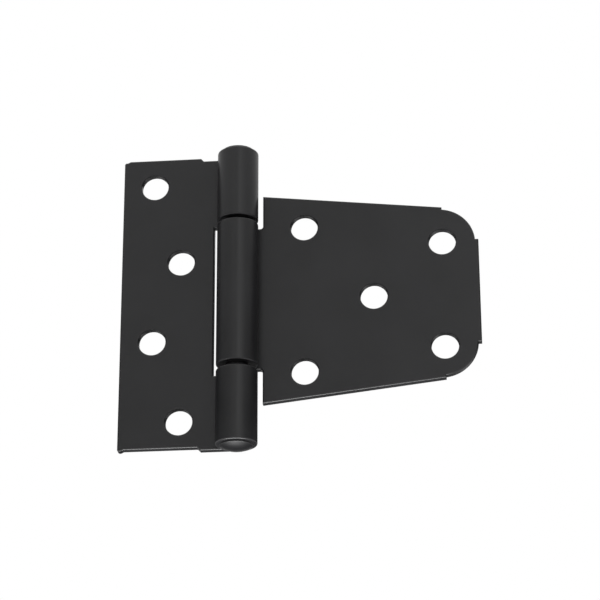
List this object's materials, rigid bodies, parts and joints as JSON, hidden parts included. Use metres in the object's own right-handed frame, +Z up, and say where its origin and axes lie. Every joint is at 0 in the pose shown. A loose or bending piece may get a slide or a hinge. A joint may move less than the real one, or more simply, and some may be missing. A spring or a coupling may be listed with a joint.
{
  "type": "gate hinge",
  "caption": "Black coated steel gate hinge: an upright rectangular post leaf and a long tapered gate leaf, rolled round a riveted pin, with staggered screw holes.",
  "frame": {"origin": "on the pin's axis, halfway between the ends of the barrel", "axes": "+Z up along the pin, +X from the pin to the far edge of the gate leaf, +Y out of the back faces that lie against the post and the gate; the barrel stands out towards -Y"},
  "size_m": [0.1022, 0.0118, 0.0923],
  "materials": {
    "black_coat": "satin black powder coat over steel"
  },
  "bodies": {
    "post_side": {"post_leaf": "black_coat", "hinge_pin": "black_coat"},
    "gate_side": {"gate_leaf": "black_coat"}
  },
  "joints": [
    {"name": "gate_swing", "type": "hinge", "parent": "post_side", "child": "gate_side", "pos_m": [0, 0, 0], "axis": [0, 0, 1], "range_deg": [-180, 97]}
  ]
}
